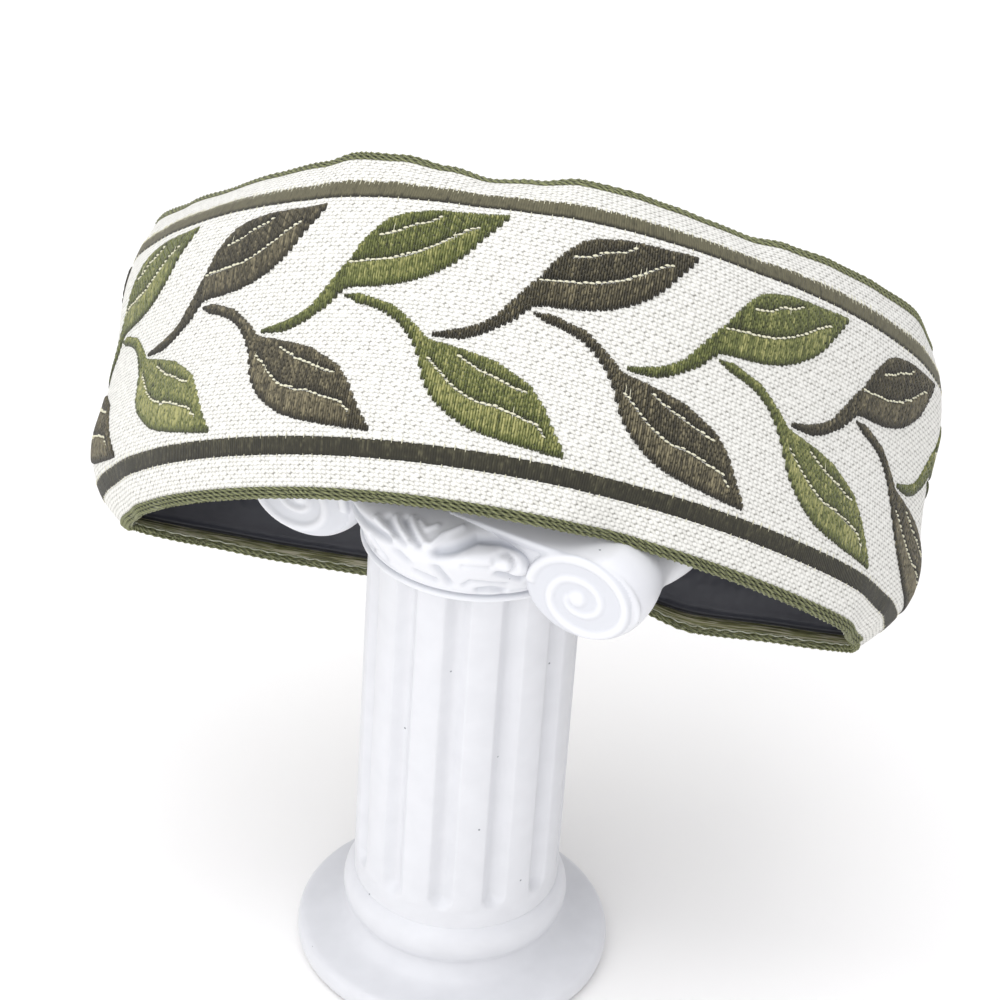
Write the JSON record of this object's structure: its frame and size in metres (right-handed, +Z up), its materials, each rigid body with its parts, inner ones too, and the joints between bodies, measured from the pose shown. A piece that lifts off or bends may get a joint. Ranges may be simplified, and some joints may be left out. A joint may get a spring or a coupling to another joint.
{
  "type": "leaf ribbon headband on a column stand",
  "caption": "Wide soft headband of leaf-patterned woven ribbon with a dark lining, closed in a ring and hung tilted over a small fluted column with a scroll capital.",
  "frame": {"origin": "centre of the flat underside of the column's foot", "axes": "+Z up the column, +X to the right of the band seen from its front, so the front of the band looks to -Y"},
  "size_m": [0.1464, 0.0988, 0.1386],
  "materials": {
    "ribbon": "woven cream ground with olive edges",
    "lining": "smooth dark lining cloth",
    "stripes": "dark brown satin weave",
    "green_leaves": "olive satin weave",
    "brown_leaves": "brown satin weave",
    "column_base": "white, smooth cast",
    "column_shaft": "white, smooth cast",
    "column_capital": "white, smooth cast"
  },
  "bodies": {
    "root": {"ribbon": "ribbon", "lining": "lining", "stripes": "stripes", "green_leaves": "green_leaves", "brown_leaves": "brown_leaves", "column_base": "column_base", "column_shaft": "column_shaft", "column_capital": "column_capital"}
  },
  "joints": []
}
